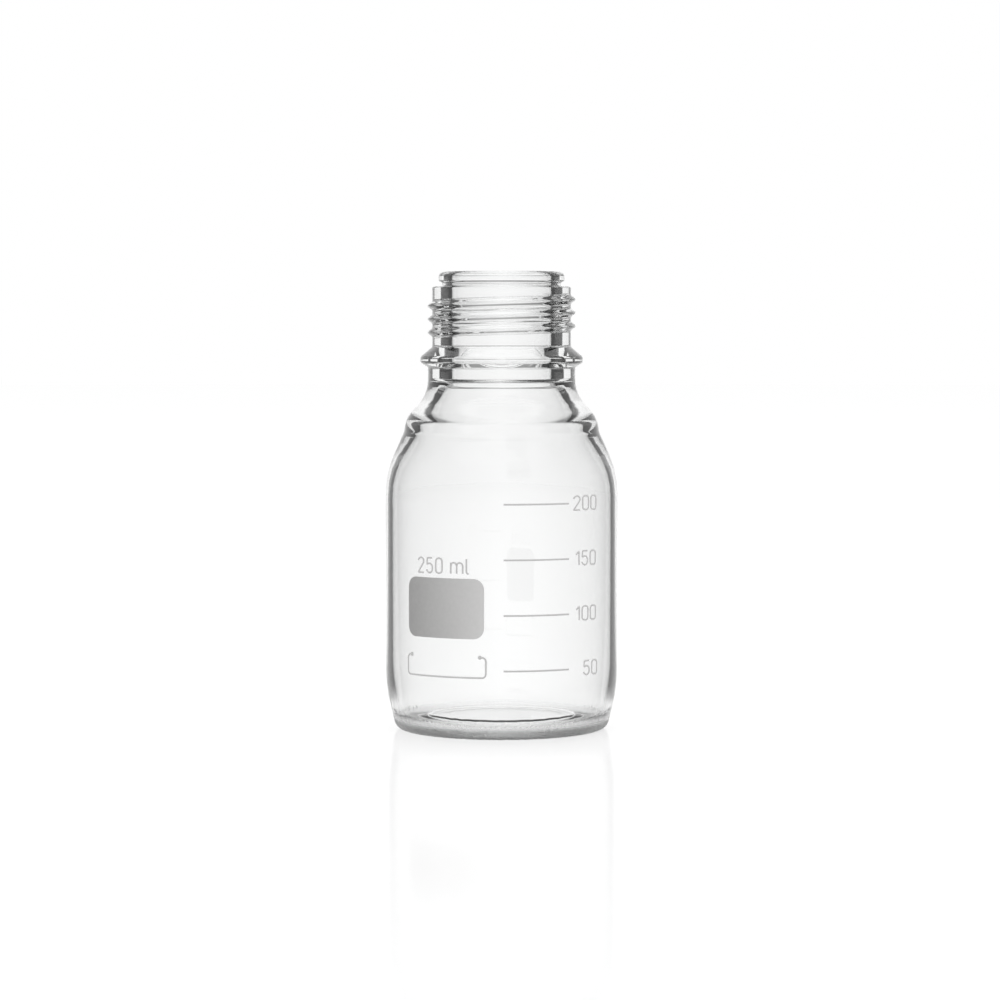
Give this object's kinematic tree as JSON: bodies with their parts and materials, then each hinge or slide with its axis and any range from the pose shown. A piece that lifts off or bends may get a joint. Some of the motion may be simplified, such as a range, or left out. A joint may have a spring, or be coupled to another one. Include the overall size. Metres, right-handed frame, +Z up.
{
  "type": "round glass media bottle",
  "caption": "Round clear glass laboratory bottle with an open screw neck, a flange under the thread, a tapered body and a grey enamel writing field with volume lines.",
  "frame": {"origin": "centre of the standing ring, on the surface that the bottle stands on", "axes": "+Z up along the bottle's axis to its mouth, -Y towards the printed front, +X to the right of the front"},
  "size_m": [0.07, 0.0701, 0.138],
  "materials": {
    "glass": "clear blown borosilicate glass, fire polished, stippled on the base",
    "enamel": "fired light grey ceramic enamel print, satin"
  },
  "bodies": {
    "root": {"glass_body": "glass", "writing_field": "enamel", "graduation_lines": "enamel", "code_frame": "enamel"}
  },
  "joints": []
}
